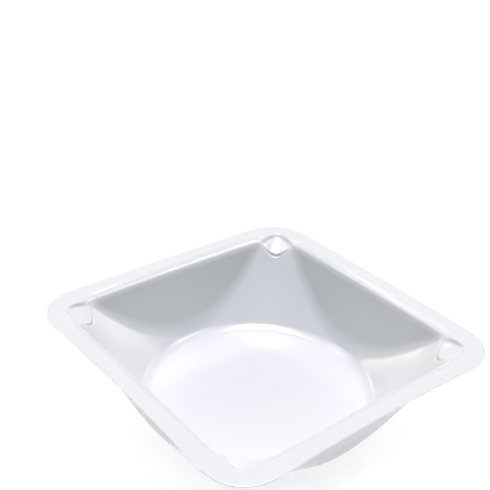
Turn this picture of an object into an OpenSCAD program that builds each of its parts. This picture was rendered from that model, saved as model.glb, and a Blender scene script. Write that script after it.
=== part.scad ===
// Square weighing boat, vacuum formed from one thin sheet.
// Origin: middle of the underside of the base. +Z up. Millimetres.
// The inner (upper) face is a height field: the zero level of one smooth field made of four wall
// planes, a corner cone, the base plane, four corner pockets and the flange. The underside is
// the same face moved by the sheet's thickness along its normal.

/* [Flange] */
// Side of the square that the flange's outline is drawn in
side = 100; // [96:1:112]
// Radius of the outline's corners
corner_r = 13.7; // [10:0.1:18]
// How far the middle of each side bows in from that square
side_bow = 0.9; // [0:0.1:1.5]
// How far the flange's corners droop below its sides
corner_droop = 1.2; // [0:0.1:2]
// Width of the flange, from that square to the wall's plane
flange_w = 7.5; // [7:0.1:9]
// Radius of the roll from the flange down to the fold above the wall, next to a corner
edge_r = 1.5; // [1:0.1:2]
// What that radius gains at the middle of a side
edge_r_gain = 0.2; // [0:0.1:1]
// Depth of the fold below the flange
fold_drop = 1.9; // [1.4:0.1:2.2]
// Tilt of the roll just above the fold, in degrees from level
fold_tilt = 50; // [45:1:55]

/* [Body] */
// Height over all
height = 25; // [22:0.5:28]
// Thickness of the sheet
sheet = 0.45; // [0.3:0.05:0.5]
// Radius of the round base, where the corner cone would meet it
base_r = 34.6; // [32.5:0.1:36]
// Draft of the four flat walls, in degrees from upright
wall_draft = 13.3; // [11:0.1:15]
// Slope of the corner cone at the base, in degrees from level
cone_slope = 46.7; // [45:0.1:49]
// How fast the cone steepens outwards: rise added per square millimetre
cone_curve = 0.006; // [0:0.001:0.01]
// Radius between base and sides
base_fillet = 1.5; // [1:0.1:2.5]
// Radius between wall and cone at the flange
blend_top = 1; // [0.5:0.1:1.5]
// Radius between wall and cone at the base
blend_bottom = 1.4; // [1:0.1:2.5]

/* [Corner pockets] */
// Half width of each pocket
pocket_w = 6; // [5:0.1:6.5]
// Depth of the pocket's floor below the flange, at the lip
pocket_depth = 4.4; // [3.5:0.1:5]
// Rise of the floor from the lip out to the corner, as a ratio
pocket_rise = 0.42; // [0.2:0.02:0.5]
// Radius of the floor across the pocket
pocket_floor_r = 10; // [9:0.5:20]
// How far the pocket's sides lie outside the planes of the walls
pocket_recess = 0; // [0:0.1:0.5]
// Rounding of the pocket in plan
pocket_round = 2.2; // [1:0.1:3]
// Rounding of the pocket's lip
lip_round = 0.6; // [0.45:0.05:0.8]
// How far the lug under the lip stands proud of the corner
lug_h = 0.35; // [0:0.05:0.5]
// Distance of the lug's foot from the middle of the boat
lug_foot = 51.5; // [50:0.1:52]

/* [Resolution] */
// Rings from the base to the outline
rings = 26; // [20:1:30]

/* [Hidden] */
depth = height - sheet;             // flange plane to the floor of the boat
aw = side/2 - flange_w;             // wall plane at flange level
kd = tan(wall_draft);
cd = cos(wall_draft);
ms = tan(cone_slope);
wall_round = 1.2;                   // between two walls
side_round = 1.2;                   // between a pocket's side and its floor
foot_round = 0.8;                   // between the floor and the sides along the walls
lug_bend = 0.105;                   // how the lug's foot curves away from the diagonal, per mm squared
lug_edge = 0.5;                     // width over which the lug rises
fold_r = 0.5;                       // radius of the fold between roll and wall
// weights that give the plane through the fold its tilt
fold_b = sin(fold_tilt)/cd;
fold_a = cos(fold_tilt) - fold_b*sin(wall_draft);
flat_r = base_r - 3.4;              // the base is flat inside this
steps = 72;                         // fine samples along each direction
// directions of one eighth of the boat, closer together at the pocket
octant = [0, 6, 12, 17.5, 22.5, 27, 31, 34.2, 36.8, 39, 40.9, 42.4, 43.7, 45];
no = len(octant) - 1;
// all directions, by mirroring the eighth; each entry is [index in octant, angle]
dirs = [for (q = [0:3]) each concat(
    [for (i = [0:no]) [i, 90*q + octant[i]]],
    [for (i = [no-1:-1:1]) [i, 90*q + 90 - octant[i]]])];
nd = len(dirs);

// smooth intersection of two fields, with radius R
function rmax(R, a, b) = min(max(a, b), -R) + sqrt(pow(max(a+R, 0), 2) + pow(max(b+R, 0), 2));
function step01(t) = let (s = min(max(t, 0), 1)) s*s*(3 - 2*s);

// the flange's top, which droops towards the corners
function flange_z(x, y) = -corner_droop*pow(x*y/(side*side/4), 2);

// the inside of a pocket between its two sides and above its floor: negative inside.
// u runs along the diagonal, v across it
function pocket(u, v, z) = rmax(side_round, abs(v) - pocket_w,
    ((u - lug_foot)*pocket_rise - pocket_depth + v*v/(2*pocket_floor_r) - z)/sqrt(1 + pocket_rise*pocket_rise));

// the whole upper side: below zero in the sheet, above zero in the air (x and y not negative)
function field(x, y, z) = let (
    wx = (x - (aw + kd*z))*cd,
    wy = (y - (aw + kd*z))*cd,
    u = (x + y)/sqrt(2),
    v = (x - y)/sqrt(2),
    lug = lug_h*step01((u - lug_foot - lug_bend*v*v)/lug_edge + 0.5),
    d = max(norm([x, y]) - base_r, -8),
    dp = max(d, 0),
    cone = (-depth + d*ms + cone_curve*dp*dp - z)/sqrt(1 + pow(ms + 2*cone_curve*dp, 2)) + lug,
    f = min(max(-z/depth, 0), 1),
    bowl = rmax(base_fillet,
        rmax(blend_top + (blend_bottom - blend_top)*f, rmax(wall_round, wx, wy), cone), -depth - z),
    corner = rmax(foot_round, pocket(u, v, z), rmax(pocket_round, wx - pocket_recess, wy - pocket_recess)),
    s = min(x, y)/aw,
    edge = edge_r + edge_r_gain*max(1 - s*s, 0),
    top = z - flange_z(x, y),
    roll = rmax(edge, top, fold_a*(top + fold_drop) - fold_b*bowl))
    rmax(lip_round, rmax(fold_r, roll, -bowl), -corner);

// height of the upper side over (x, y), by halving
function height_at(x, y, lo = -30, hi = 1, n = 26) = n == 0 ? (lo + hi)/2 :
    let (m = (lo + hi)/2) field(x, y, m) < 0 ? height_at(x, y, m, hi, n-1) : height_at(x, y, lo, m, n-1);

// radius of the flange's outline in direction a, from 0 to 45 degrees
function outline(a) = let (
    h = side/2, k = h - corner_r, c = cos(a), s = sin(a),
    b = k*(c + s),
    arc = b + sqrt(max(b*b - (2*k*k - corner_r*corner_r), 0)),
    r = h*s/c > k ? arc : h/c)
    r - side_bow*(1 - pow(r*s/h, 2))/c;

// fine profile along direction a: [radius, height]
function profile(a) = let (r1 = outline(a)) [for (i = [0:steps])
    let (r = flat_r + (r1 - flat_r)*i/steps) [r, height_at(r*cos(a), r*sin(a))]];
function tilt(p, i) = atan2(p[i+1][1] - p[i][1], p[i+1][0] - p[i][0]);
// weight of each fine step: its length, and how far the profile turns there
function weights(p) = [for (i = [0:steps-1])
    norm(p[i+1] - p[i]) + 0.045*(abs(tilt(p, min(i+1, steps-1)) - tilt(p, max(i-1, 0))))];
function running(w) = [for (i = 0, s = 0; i <= len(w); s = s + (i < len(w) ? w[i] : 0), i = i + 1) s];
function find(c, t, i = 0) = i >= len(c) - 2 || c[i+1] >= t ? i : find(c, t, i+1);
// radii of the rings along direction a, evenly spread by weight
function ring_radii(a) = let (p = profile(a), c = running(weights(p)), total = c[steps]) [for (j = [0:rings-1])
    j == 0 ? flat_r : j == rings-1 ? p[steps][0] :
    let (t = total*j/(rings-1), i = find(c, t), e = (t - c[i])/(c[i+1] - c[i]))
    p[i][0] + e*(p[i+1][0] - p[i][0])];

// upper point and unit normal at (x, y) in the eighth
function normal(x, y, z, e = 0.02) = let (
    n = [field(x+e, y, z) - field(x-e, y, z), field(x, y+e, z) - field(x, y-e, z), field(x, y, z+e) - field(x, y, z-e)])
    n/norm(n);
eighth = [for (i = [0:no]) let (a = octant[i], rr = ring_radii(a)) [for (j = [0:rings-1]) let (
    x = rr[j]*cos(a), y = rr[j]*sin(a), z = j == 0 ? -depth : height_at(x, y),
    n0 = j == 0 ? [0, 0, 1] : j == rings-1 ? [0, 0, 1] : normal(x, y, z),
    // a point on a line of symmetry keeps its normal in that line's plane
    n1 = i == 0 ? [n0[0], 0, n0[2]] : i == no ? [(n0[0]+n0[1])/2, (n0[0]+n0[1])/2, n0[2]] : n0,
    n = n1/norm(n1))
    [[x, y, z], [x, y, z] - sheet*n]]];

// a point of the eighth, moved to direction d
function place(p, d) = let (
    q = floor(d[1]/90 + 0.0001), m = d[1] - 90*q > 45.001,
    x = m ? p[1] : p[0], y = m ? p[0] : p[1])
    [x*cos(90*q) - y*sin(90*q), x*sin(90*q) + y*cos(90*q), p[2] + height];

points = concat(
    [for (d = dirs) for (j = [0:rings-1]) place(eighth[d[0]][j][0], d)],
    [for (d = dirs) for (j = [0:rings-1]) place(eighth[d[0]][j][1], d)]);
function id(s, d, j) = s*nd*rings + (d % nd)*rings + j;
faces = concat(
    [[for (d = [nd-1:-1:0]) id(0, d, 0)]],
    [[for (d = [0:nd-1]) id(1, d, 0)]],
    [for (d = [0:nd-1]) for (j = [0:rings-2]) each let (
        a = id(0, d, j), b = id(0, d, j+1), c = id(0, d+1, j+1), e = id(0, d+1, j))
        (dirs[d][1] % 90 < 44.9) ? [[a, c, b], [a, e, c]] : [[a, e, b], [e, c, b]]],
    [for (d = [0:nd-1]) for (j = [0:rings-2]) each let (
        a = id(1, d, j), b = id(1, d, j+1), c = id(1, d+1, j+1), e = id(1, d+1, j))
        (dirs[d][1] % 90 < 44.9) ? [[a, b, c], [a, c, e]] : [[a, b, e], [e, b, c]]],
    [for (d = [0:nd-1]) each let (
        a = id(0, d, rings-1), b = id(1, d, rings-1), c = id(1, d+1, rings-1), e = id(0, d+1, rings-1))
        [[a, c, b], [a, e, c]]]);

// the formed sheet: base, walls, corners, pockets and flange in one
module boat() {
    color([0.95, 0.95, 0.97]) polyhedron(points = points, faces = faces, convexity = 6);
}

boat();
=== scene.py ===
import math
import bpy
import numpy as np
from mathutils import Matrix, Quaternion, Vector


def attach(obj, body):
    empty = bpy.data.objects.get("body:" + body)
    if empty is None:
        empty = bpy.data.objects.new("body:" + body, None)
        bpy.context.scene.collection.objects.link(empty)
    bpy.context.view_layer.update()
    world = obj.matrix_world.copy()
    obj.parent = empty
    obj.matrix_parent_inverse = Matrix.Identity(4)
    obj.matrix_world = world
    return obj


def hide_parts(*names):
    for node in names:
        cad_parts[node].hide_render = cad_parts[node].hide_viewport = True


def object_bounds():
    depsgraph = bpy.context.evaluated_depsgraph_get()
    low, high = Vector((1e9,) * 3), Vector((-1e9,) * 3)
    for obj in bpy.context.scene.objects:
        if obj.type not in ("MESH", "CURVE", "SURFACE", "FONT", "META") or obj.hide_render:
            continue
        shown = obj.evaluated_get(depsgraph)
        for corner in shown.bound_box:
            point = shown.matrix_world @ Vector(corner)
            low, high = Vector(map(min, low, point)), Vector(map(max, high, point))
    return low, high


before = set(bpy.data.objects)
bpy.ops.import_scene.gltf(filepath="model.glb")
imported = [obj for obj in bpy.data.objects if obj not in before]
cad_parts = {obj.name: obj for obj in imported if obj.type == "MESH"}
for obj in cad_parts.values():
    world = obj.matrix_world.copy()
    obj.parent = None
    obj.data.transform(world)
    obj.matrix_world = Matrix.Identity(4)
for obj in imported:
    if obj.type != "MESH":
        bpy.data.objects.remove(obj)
cad_lo, cad_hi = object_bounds()
cad_lo, cad_hi = list(cad_lo), list(cad_hi)

# ------------------------------------------------------------------ the boat's surface
# Millimetres, z = 0 at the flange, the same construction as part.scad.
SIDE, CORNER_R, SIDE_BOW, DROOP = 100.0, 13.7, 0.9, 1.2
FLANGE_W, EDGE_R, EDGE_GAIN = 7.5, 1.5, 0.2
FOLD_DROP, FOLD_TILT, FOLD_R = 1.9, 50.0, 0.5
HEIGHT, SHEET = 25.0, 0.45
BASE_R, DRAFT, SLOPE, SLOPE_GAIN = 34.6, 13.3, 46.7, 0.006
BASE_FILLET, BLEND_TOP, BLEND_BOTTOM = 1.5, 1.0, 1.4
POCKET_W, POCKET_DEPTH, POCKET_RISE, POCKET_FLOOR_R = 6.0, 4.4, 0.42, 10.0
POCKET_RECESS, POCKET_ROUND, LIP_ROUND = 0.0, 2.2, 0.6
LUG_H, LUG_FOOT, LUG_BEND, LUG_EDGE, LUG_DIP = 0.35, 51.5, 0.105, 0.5, 0.17
WALL_ROUND, SIDE_ROUND, FOOT_ROUND = 1.2, 1.2, 0.8
DEPTH = HEIGHT - SHEET
AW = SIDE / 2 - FLANGE_W
KD, CD = math.tan(math.radians(DRAFT)), math.cos(math.radians(DRAFT))
MS = math.tan(math.radians(SLOPE))
R2 = math.sqrt(2.0)
FOLD_B = math.sin(math.radians(FOLD_TILT)) / CD
FOLD_A = math.cos(math.radians(FOLD_TILT)) - FOLD_B * math.sqrt(1 - CD * CD)


def rmax(r, a, b):
    return np.minimum(np.maximum(a, b), -r) + np.sqrt(np.maximum(a + r, 0) ** 2 + np.maximum(b + r, 0) ** 2)


def step01(t):
    t = np.clip(t, 0, 1)
    return t * t * (3 - 2 * t)


def flange_z(x, y):
    return -DROOP * (x * y / (SIDE * SIDE / 4)) ** 2


def field(x, y, z):
    """Below zero in the sheet, above zero in the air over it."""
    x, y = np.abs(x), np.abs(y)
    wx = (x - (AW + KD * z)) * CD
    wy = (y - (AW + KD * z)) * CD
    u, v = (x + y) / R2, (x - y) / R2
    t = u - LUG_FOOT - LUG_BEND * v * v
    lug = LUG_H * step01(t / LUG_EDGE + 0.5) - LUG_DIP * np.maximum(1 - ((t + 0.3) / 0.45) ** 2, 0) ** 2
    d = np.maximum(np.hypot(x, y) - BASE_R, -8)
    dp = np.maximum(d, 0)
    cone = (-DEPTH + d * MS + SLOPE_GAIN * dp * dp - z) / np.sqrt(1 + (MS + 2 * SLOPE_GAIN * dp) ** 2) + lug
    f = np.clip(-z / DEPTH, 0, 1)
    bowl = rmax(BASE_FILLET, rmax(BLEND_TOP + (BLEND_BOTTOM - BLEND_TOP) * f, rmax(WALL_ROUND, wx, wy), cone), -DEPTH - z)
    floor = ((u - LUG_FOOT) * POCKET_RISE - POCKET_DEPTH + v * v / (2 * POCKET_FLOOR_R) - z) / math.sqrt(1 + POCKET_RISE ** 2)
    pocket = rmax(SIDE_ROUND, np.abs(v) - POCKET_W, floor)
    corner = rmax(FOOT_ROUND, pocket, rmax(POCKET_ROUND, wx - POCKET_RECESS, wy - POCKET_RECESS))
    s = np.minimum(x, y) / AW
    edge = EDGE_R + EDGE_GAIN * np.clip(1 - s * s, 0, 1)
    top = z - flange_z(x, y)
    bevel = FOLD_A * (top + FOLD_DROP) - FOLD_B * bowl
    rim = rmax(FOLD_R, rmax(edge, top, bevel), -bowl)
    return rmax(LIP_ROUND, rim, -corner)


def height_at(x, y, n=30):
    lo, hi = np.full(np.shape(x), -30.0), np.full(np.shape(x), 1.0)
    for _ in range(n):
        m = (lo + hi) / 2
        solid = field(x, y, m) < 0
        lo, hi = np.where(solid, m, lo), np.where(solid, hi, m)
    return (lo + hi) / 2


def outline(a):
    """Radius of the flange's outline in direction a, 0 to 45 degrees in radians."""
    h, k = SIDE / 2, SIDE / 2 - CORNER_R
    c, s = np.cos(a), np.sin(a)
    b = k * (c + s)
    arc = b + np.sqrt(np.maximum(b * b - (2 * k * k - CORNER_R ** 2), 0))
    r = np.where(h * s / c > k, arc, h / c)
    return r - SIDE_BOW * (1 - (r * s / h) ** 2) / c


def ring_radii(a, rings, r0, cut, bend):
    """Radii of the rings in each direction: closer together where the profile turns."""
    steps = 900
    out = []
    for ang in a:
        r = np.linspace(r0, outline(ang) - cut, steps + 1)
        z = height_at(r * math.cos(ang), r * math.sin(ang))
        t = np.arctan2(np.diff(z), np.diff(r))
        w = np.hypot(np.diff(r), np.diff(z)) + bend * np.abs(np.gradient(t))
        c = np.concatenate([[0], np.cumsum(w)])
        out.append(np.interp(np.linspace(0, c[-1], rings), c, r))
    out = np.array(out)
    # neighbouring directions keep nearly the same rings, so features don't saw-tooth
    for _ in range(3):
        pad = np.concatenate([out[1:2], out, out[-2:-1]])
        out = (pad[:-2] + 2 * pad[1:-1] + pad[2:]) / 4
    out[:, 0] = r0
    out[:, -1] = outline(a) - cut
    return out


def boat_mesh(name, per_eighth=60, top_rings=130, low_rings=64):
    # directions of one eighth, closer together near the pocket at 45 degrees
    q = np.linspace(0, 1, per_eighth + 1)
    a8 = math.radians(45) * (q + 0.16 * np.sin(math.pi * q))
    cut = 0.13
    flat = BASE_R - 3.4

    def face(rings, bend):
        rr = ring_radii(a8, rings, flat, cut, bend)
        x, y = rr * np.cos(a8)[:, None], rr * np.sin(a8)[:, None]
        z = height_at(x, y)
        z[:, 0] = -DEPTH
        e = 0.01
        n = np.stack([field(x + e, y, z) - field(x - e, y, z), field(x, y + e, z) - field(x, y - e, z),
                      field(x, y, z + e) - field(x, y, z - e)], -1)
        n[:, 0] = (0, 0, 1)
        n[:, -1] = (0, 0, 1)
        n[0, :, 1] = 0
        n[-1, :, :2] = n[-1, :, :2].mean(-1, keepdims=True)
        n /= np.linalg.norm(n, axis=-1, keepdims=True)
        return np.stack([x, y, z], -1), n

    top, _ = face(top_rings, 1.6)
    low, nl = face(low_rings, 1.6)
    low = low - SHEET * nl
    # the trimmed edge of the sheet: a small round, a short upright cut, a small round
    rim_r = outline(a8)
    prof = []
    for k in (30, 60, 90):
        t = math.radians(k)
        prof.append((-cut + cut * math.sin(t), -cut + cut * math.cos(t)))
    for k in (90, 60, 30):
        t = math.radians(k)
        prof.append((-cut + cut * math.sin(t), -SHEET + cut - cut * math.cos(t)))
    zt = top[:, -1, 2]
    rim = np.array([[[(rim_r[i] + dr) * math.cos(a8[i]), (rim_r[i] + dr) * math.sin(a8[i]), zt[i] + dz] for dr, dz in prof]
                    for i in range(len(a8))])
    low[:, -1, 2] = zt - SHEET
    # one profile per direction, from the middle of the upper side round the rim to the middle of the underside
    inner = [0.25, 0.5, 0.75]
    base_top = np.stack([top[:, 0] * np.array([f, f, 1.0]) for f in inner], 1)
    base_low = np.stack([low[:, 0] * np.array([f, f, 1.0]) for f in inner[::-1]], 1)
    prof8 = np.concatenate([base_top, top, rim, low[:, ::-1], base_low], 1)
    nprof = prof8.shape[1]
    # eight copies round the boat
    n8 = per_eighth
    cols = []
    for qd in range(4):
        c, s = round(math.cos(math.pi / 2 * qd)), round(math.sin(math.pi / 2 * qd))
        rot = np.array([[c, -s, 0], [s, c, 0], [0, 0, 1.0]])
        for i in range(n8):
            cols.append(prof8[i] @ rot.T)
        for i in range(n8, 0, -1):
            cols.append(prof8[i][:, [1, 0, 2]] @ rot.T)
    ring = np.array(cols)
    nd = len(ring)
    verts = ring.reshape(-1, 3)
    verts = np.concatenate([verts, [[0, 0, -DEPTH], [0, 0, -HEIGHT]]])
    verts[:, 2] += HEIGHT
    verts[:, 2] = np.clip(verts[:, 2], 0, HEIGHT)
    lim = cad_hi[0] * 1000
    verts[:, :2] = np.clip(verts[:, :2], -lim, lim)
    i = np.arange(nd)[:, None]
    j = np.arange(nprof - 1)[None, :]
    k = (i + 1) % nd
    quads = np.stack([i * nprof + j, i * nprof + j + 1, k * nprof + j + 1, k * nprof + j], -1).reshape(-1, 4)
    faces = [tuple(int(v) for v in f) for f in quads]
    ct, cl = nd * nprof, nd * nprof + 1
    for d in range(nd):
        e = (d + 1) % nd
        faces.append((ct, d * nprof, e * nprof))
        faces.append((cl, e * nprof + nprof - 1, d * nprof + nprof - 1))
    me = bpy.data.meshes.new(name)
    me.from_pydata([tuple(v) for v in (verts / 1000.0)], [], faces)
    me.validate()
    me.update()
    me.polygons.foreach_set("use_smooth", [True] * len(me.polygons))
    ob = bpy.data.objects.new(name, me)
    bpy.context.collection.objects.link(ob)
    return ob


def sheet_material():
    """White polystyrene sheet: greyer lower down, partly for the thinner drawn sheet and partly as painted shade
    on the walls, glossy, faintly uneven.
    """
    m = bpy.data.materials.new("formed_polystyrene")
    m.use_nodes = True
    nt = m.node_tree
    nt.nodes.clear()

    def node(kind, **values):
        n = nt.nodes.new(kind)
        for k, v in values.items():
            setattr(n, k, v)
        return n

    def noise(scale, detail, rough, stretch=(1, 1, 1)):
        mp = node("ShaderNodeMapping")
        mp.inputs["Scale"].default_value = stretch
        nt.links.new(coord.outputs["Object"], mp.inputs["Vector"])
        n = node("ShaderNodeTexNoise")
        n.inputs["Scale"].default_value = scale
        n.inputs["Detail"].default_value = detail
        n.inputs["Roughness"].default_value = rough
        nt.links.new(mp.outputs[0], n.inputs["Vector"])
        return n.outputs["Fac"]

    def remap(value, a, b, c, d):
        n = node("ShaderNodeMapRange")
        for k, v in zip(("From Min", "From Max", "To Min", "To Max"), (a, b, c, d)):
            n.inputs[k].default_value = v
        nt.links.new(value, n.inputs["Value"])
        return n.outputs["Result"]

    def maths(op, a, b):
        n = node("ShaderNodeMath", operation=op)
        for i, v in enumerate((a, b)):
            if isinstance(v, (int, float)):
                n.inputs[i].default_value = v
            else:
                nt.links.new(v, n.inputs[i])
        return n.outputs[0]

    def mix(fac, a, b):
        n = node("ShaderNodeMix", data_type="RGBA")
        nt.links.new(fac, n.inputs[0])
        for i, v in ((6, a), (7, b)):
            if isinstance(v, tuple):
                n.inputs[i].default_value = v
            else:
                nt.links.new(v, n.inputs[i])
        return n.outputs[2]

    coord = node("ShaderNodeTexCoord")
    sep = node("ShaderNodeSeparateXYZ")
    nt.links.new(coord.outputs["Object"], sep.inputs[0])
    out = node("ShaderNodeOutputMaterial")
    b = node("ShaderNodeBsdfPrincipled")
    nt.links.new(b.outputs[0], out.inputs[0])
    b.inputs["IOR"].default_value = 1.59
    b.subsurface_method = "RANDOM_WALK"
    b.inputs["Subsurface Weight"].default_value = 0.3
    b.inputs["Subsurface Radius"].default_value = (1.0, 1.0, 1.0)
    b.inputs["Subsurface Scale"].default_value = 0.0008

    # colour: cloudy over a few centimetres, and greyer down the sides, partly for the thinner drawn sheet and
    # partly as painted shade
    cloud = noise(60, 2.0, 0.5)
    fine_cloud = noise(260, 3.0, 0.55)
    # painted shade: the base colour greys towards the bottom, partly for the thinner drawn sheet and partly to
    # stand in for the shade on the walls
    drawn_thin_and_painted_shade = remap(sep.outputs["Z"], 0.002, HEIGHT / 1000, 1.0, 0.0)
    cloudy_tone_and_painted_shade = maths("ADD", maths("MULTIPLY", drawn_thin_and_painted_shade, 0.45), maths("MULTIPLY", cloud, 0.55))
    colour = mix(cloudy_tone_and_painted_shade, (0.632, 0.636, 0.656, 1), (0.606, 0.614, 0.642, 1))
    specks = remap(fine_cloud, 0.35, 0.65, 0.0, 1.0)
    colour = mix(specks, colour, mix(cloudy_tone_and_painted_shade, (0.622, 0.626, 0.65, 1), (0.61, 0.616, 0.64, 1)))
    nt.links.new(colour, b.inputs["Base Color"])

    # gloss: a little duller in patches and along faint handling scuffs
    scuff = maths("POWER", noise(90, 4.0, 0.6, (9, 1.0, 1.0)), 4.0)
    scuff2 = maths("POWER", noise(90, 4.0, 0.6, (1.0, 9, 1.0)), 4.0)
    rough = maths("ADD", remap(cloud, 0.3, 0.7, 0.13, 0.17), maths("MULTIPLY", maths("ADD", scuff, scuff2), 0.22))
    nt.links.new(rough, b.inputs["Roughness"])

    # surface: very shallow waviness left by forming, and a fine grain
    wave = noise(180, 2.0, 0.5)
    grain = noise(1900, 2.0, 0.5)
    height = maths("ADD", maths("MULTIPLY", wave, 1.0), maths("MULTIPLY", grain, 0.06))
    bump = node("ShaderNodeBump")
    bump.inputs["Strength"].default_value = 0.35
    bump.inputs["Distance"].default_value = 0.00006
    nt.links.new(height, bump.inputs["Height"])
    nt.links.new(bump.outputs[0], b.inputs["Normal"])
    return m


boat = boat_mesh("boat_sheet")
boat.data.materials.append(sheet_material())
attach(boat, "root")
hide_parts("boat")

# ------------------------------------------------------------------ stage
FLOOR_GLOW = 0.55
bpy.ops.mesh.primitive_circle_add(vertices=128, radius=0.75, fill_type="NGON", location=(0, 0, 0))
floor = bpy.context.object
floor.name = "floor"
fm = bpy.data.materials.new("pale_floor")
fm.use_nodes = True
fb = fm.node_tree.nodes["Principled BSDF"]
fb.inputs["Base Color"].default_value = (0.9, 0.9, 0.9, 1)
fb.inputs["Roughness"].default_value = 0.6
fb.inputs["Specular IOR Level"].default_value = 0.2
fb.inputs["Emission Color"].default_value = (1, 1, 1, 1)
fb.inputs["Emission Strength"].default_value = FLOOR_GLOW
floor.data.materials.append(fm)

# the camera looks towards (-x, +y); "fwd" is that way, "side" is to its right
az = math.radians(49.83)
fwd = Vector((-math.sin(az), math.cos(az), 0))
side = Vector((math.cos(az), math.sin(az), 0))
# name, (sideways, forward, up) in metres, size, turn about its axis in degrees, watts of red, green and blue
LIGHTS = [
    ("over", (0.0, 0.0, 0.9), (0.9, 0.7), 0, (1.3, 1.75, 1.2)),
    ("over_key", (0.0, 0.0, 1.1), (0.3, 0.3), 0, (7.5, 8.45, 8.9)),
    ("over_back", (0.0, 0.35, 1.05), (0.3, 0.3), 0, (5.1, 3.35, 4.15)),
    ("back_left", (-0.684, 0.574, 0.325), (0.5, 0.35), 0, (2.1, 2.0, 1.4)),
    ("back_right", (0.684, 0.574, 0.325), (0.5, 0.35), 0, (1.3, 1.3, 1.0)),
    ("strip_right", (0.5, 0.17, 0.84), (0.44, 0.06), -28, (1.2, 1.2, 1.2)),
    ("strip_left", (-0.33, 0.39, 0.84), (0.42, 0.06), 13, (0.6, 0.6, 0.6)),
    ("strip_left_low", (-0.63, 0.13, 0.735), (0.4, 0.06), 0, (0.8, 0.8, 0.8)),
    ("strip_right_low", (0.7, 0.01, 0.69), (0.4, 0.06), 0, (0.5, 0.5, 0.5)),
]

world = bpy.data.worlds.new("studio")
bpy.context.scene.world = world
world.use_nodes = True
# white where the camera looks past the floor; it lights nothing
sky = world.node_tree.nodes["Background"]
sky.inputs[0].default_value = (1, 1, 1, 1)
path = world.node_tree.nodes.new("ShaderNodeLightPath")
world.node_tree.links.new(path.outputs["Is Camera Ray"], sky.inputs[1])
for name, (sx, sy, sz), size, turn, watts in LIGHTS:
    d = bpy.data.lights.new(name, "AREA")
    d.shape = "RECTANGLE"
    d.size, d.size_y = size
    d.energy = max(watts)
    d.color = [w / max(watts) for w in watts]
    o = bpy.data.objects.new(name, d)
    bpy.context.collection.objects.link(o)
    o.location = side * sx + fwd * sy + Vector((0, 0, sz))
    o.rotation_mode = "QUATERNION"
    o.rotation_quaternion = (-o.location).to_track_quat("-Z", "Y") @ Quaternion((0, 0, 1), math.radians(turn))
    o.visible_camera = False

# ------------------------------------------------------------------ camera
el, roll, dist = math.radians(28.9), math.radians(2.93), 0.29634
back = Vector((math.sin(az) * math.cos(el), -math.cos(az) * math.cos(el), math.sin(el)))
right = Vector((0, 0, 1)).cross(back).normalized()
up = back.cross(right)
r2 = math.cos(roll) * right + math.sin(roll) * up
u2 = -math.sin(roll) * right + math.cos(roll) * up
cam_d = bpy.data.cameras.new("camera")
cam_d.sensor_width = 36.0
cam_d.lens = 865.41 / 490 * 36.0
cam_d.clip_start, cam_d.clip_end = 0.01, 20
cam = bpy.data.objects.new("camera", cam_d)
bpy.context.collection.objects.link(cam)
loc = Vector((-0.041, 0.02619, HEIGHT / 1000)) + back * dist
cam.matrix_world = Matrix(((r2.x, u2.x, back.x, loc.x), (r2.y, u2.y, back.y, loc.y), (r2.z, u2.z, back.z, loc.z), (0, 0, 0, 1)))
bpy.context.scene.camera = cam

sc = bpy.context.scene
sc.view_settings.view_transform = "Standard"
sc.view_settings.look = "None"
sc.view_settings.exposure = 0.0
